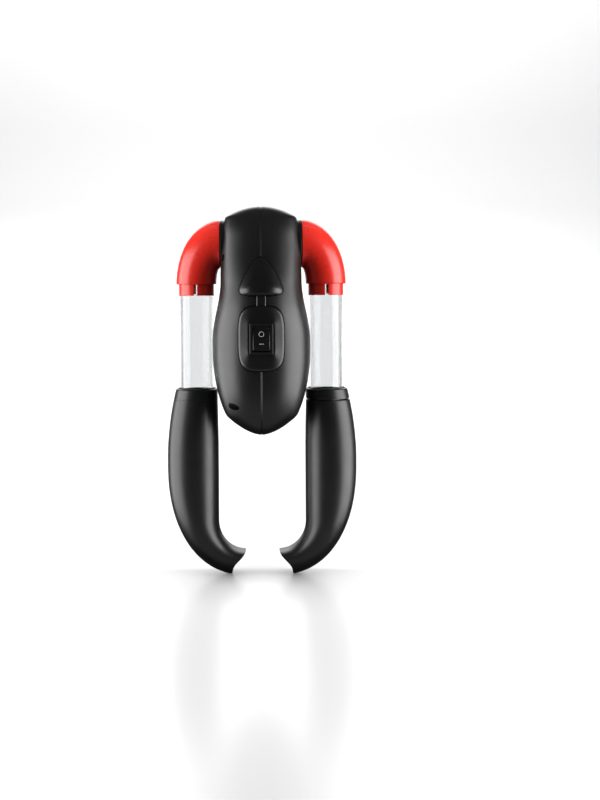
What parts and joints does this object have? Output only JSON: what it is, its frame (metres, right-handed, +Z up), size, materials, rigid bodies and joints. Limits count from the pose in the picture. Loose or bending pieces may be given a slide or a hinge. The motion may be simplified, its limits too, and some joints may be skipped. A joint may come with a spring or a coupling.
{
  "type": "boot dryer",
  "caption": "Warm-air boot dryer: a rounded two-part housing with a rocker switch and two swivelling arms of red elbows, clear telescopic tubes and curved outlet nozzles.",
  "frame": {"origin": "midway between the two nozzle tips, in the plane of the arms, at the tips' lowest point", "axes": "+Z up along the arms, -Y towards the front with the switch, +X to the right seen from the front"},
  "size_m": [0.1318, 0.0697, 0.2553],
  "materials": {
    "housing": "fine matt moulded texture",
    "trim": "satin",
    "switch_frame": "satin",
    "rocker": "semi-gloss with white printed ring and bar",
    "contacts": "bright",
    "steel": "zinc plated",
    "casing": "natural polyamide",
    "motor_can": "drawn can",
    "impeller": "satin",
    "duct": "heat-resistant moulding",
    "heater_frame": "phenolic moulding",
    "fins": "plain",
    "phenolic": "phenolic moulding",
    "fuse": "glazed white",
    "board": "solder-masked board",
    "inlet": "satin",
    "wire": "insulation",
    "ring": "satin",
    "elbow": "smooth satin-gloss moulding",
    "seal": "soft",
    "clear_tube": "clear polycarbonate",
    "nozzle": "fine matt moulded texture"
  },
  "bodies": {
    "housing": {"left_housing": "housing", "right_housing": "housing", "hood_cap": "trim", "switch_panel": "trim", "switch_body": "switch_frame", "switch_terminals": "contacts", "housing_screws": "steel", "blower_casing": "casing", "blower_cover": "casing", "motor": "motor_can", "motor_screws": "steel", "air_duct": "duct", "heater_frame": "heater_frame", "heater_element": "fins", "thermostat": "phenolic", "thermal_fuse": "fuse", "control_board": "board", "power_inlet": "inlet", "inlet_pins": "contacts", "wiring": "wire", "left_swivel_ring": "ring", "right_swivel_ring": "ring"},
    "left_elbow": {"left_elbow": "elbow", "left_elbow_seal": "seal"},
    "left_tube": {"left_tube": "clear_tube", "left_tube_stop": "ring"},
    "left_nozzle": {"left_nozzle_collar": "nozzle", "left_nozzle_seal": "seal", "left_nozzle": "nozzle"},
    "right_elbow": {"right_elbow": "elbow", "right_elbow_seal": "seal"},
    "right_tube": {"right_tube": "clear_tube", "right_tube_stop": "ring"},
    "right_nozzle": {"right_nozzle_collar": "nozzle", "right_nozzle_seal": "seal", "right_nozzle": "nozzle"},
    "rocker": {"switch_rocker": "rocker"},
    "fan": {"motor_shaft": "steel", "impeller": "impeller"}
  },
  "joints": [
    {"name": "left_elbow_swivel", "type": "hinge", "parent": "housing", "child": "left_elbow", "pos_m": [-0.0284, 0, 0.2298], "axis": [1, 0, 0], "range_deg": [-90, 90]},
    {"name": "left_tube_turn", "type": "hinge", "parent": "left_elbow", "child": "left_tube", "pos_m": [-0.0452, 0, 0.1976], "axis": [0, 0, 1], "range_deg": [-90, 90]},
    {"name": "left_nozzle_slide", "type": "slide", "parent": "left_tube", "child": "left_nozzle", "axis": [0, 0, 1], "range_m": [0, 0.058]},
    {"name": "right_elbow_swivel", "type": "hinge", "parent": "housing", "child": "right_elbow", "pos_m": [0.0284, 0, 0.2298], "axis": [1, 0, 0], "range_deg": [-90, 90]},
    {"name": "right_tube_turn", "type": "hinge", "parent": "right_elbow", "child": "right_tube", "pos_m": [0.0452, 0, 0.1976], "axis": [0, 0, 1], "range_deg": [-90, 90]},
    {"name": "right_nozzle_slide", "type": "slide", "parent": "right_tube", "child": "right_nozzle", "axis": [0, 0, 1], "range_m": [0, 0.058]},
    {"name": "rocker_tilt", "type": "hinge", "parent": "housing", "child": "rocker", "pos_m": [0, -0.0466, 0.165], "axis": [1, 0, 0], "range_deg": [0, 18]},
    {"name": "fan_spin", "type": "hinge", "parent": "housing", "child": "fan", "pos_m": [0, -0.01, 0.157], "axis": [0, 1, 0], "continuous": true}
  ]
}
